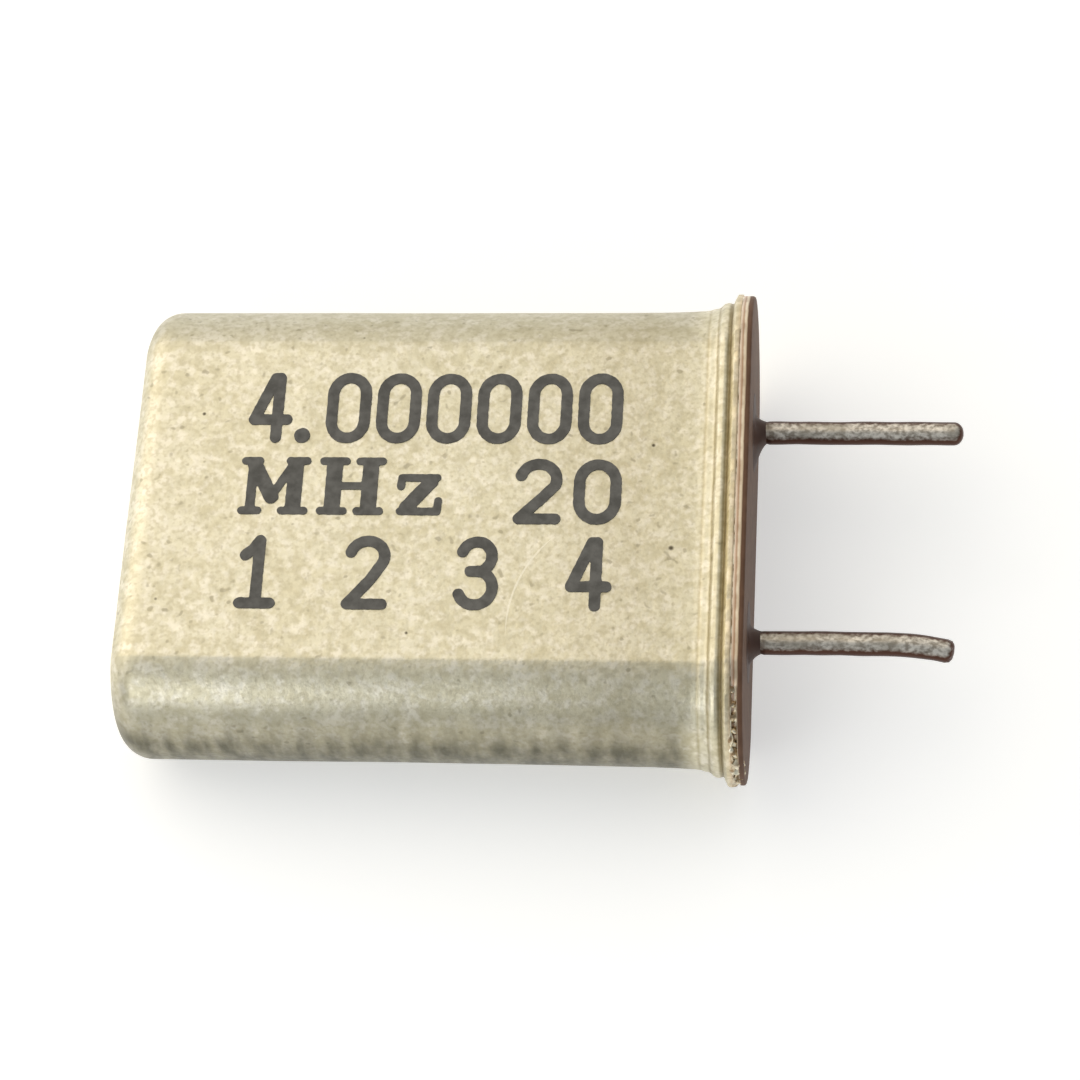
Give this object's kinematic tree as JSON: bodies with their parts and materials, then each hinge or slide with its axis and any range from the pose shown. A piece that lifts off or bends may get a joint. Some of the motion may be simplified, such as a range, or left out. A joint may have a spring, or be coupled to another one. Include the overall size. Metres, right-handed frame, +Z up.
{
  "type": "quartz crystal unit",
  "caption": "Quartz crystal unit: flat rounded metal can welded by its flange to a base, with straight wire leads in glass seals for through-hole mounting.",
  "frame": {"origin": "middle of the seating plane, the base's outer face, halfway between the two leads", "axes": "+X out of the base along the leads, +Y across the can from the near lead to the far lead, +Z up, square to the can's printed flat face; the part lies on its other flat face's side"},
  "size_m": [0.0176, 0.011, 0.0046],
  "materials": {
    "can_metal": "matt drawn nickel silver, finely mottled, warm",
    "base_metal": "stamped iron-nickel alloy, darkened brown by the glass firing",
    "seal_glass": "opaque dark brown sealing glass, with a soft shine",
    "lead_metal": "tinned wire, soft shine",
    "clip_metal": "bright nickel strip",
    "quartz": "lapped quartz, slightly frosted",
    "silver_film": "evaporated silver",
    "cement": "silver-filled conductive cement, matt",
    "ink": "dark grey printing ink, matt"
  },
  "bodies": {
    "root": {"can": "can_metal", "base": "base_metal", "glass_seal_near": "seal_glass", "glass_seal_far": "seal_glass", "lead_near": "lead_metal", "lead_far": "lead_metal", "clip_near": "clip_metal", "clip_far": "clip_metal", "quartz_blank": "quartz", "electrode_upper": "silver_film", "electrode_lower": "silver_film", "cement_near": "cement", "cement_far": "cement", "marking_ink": "ink"}
  },
  "joints": []
}
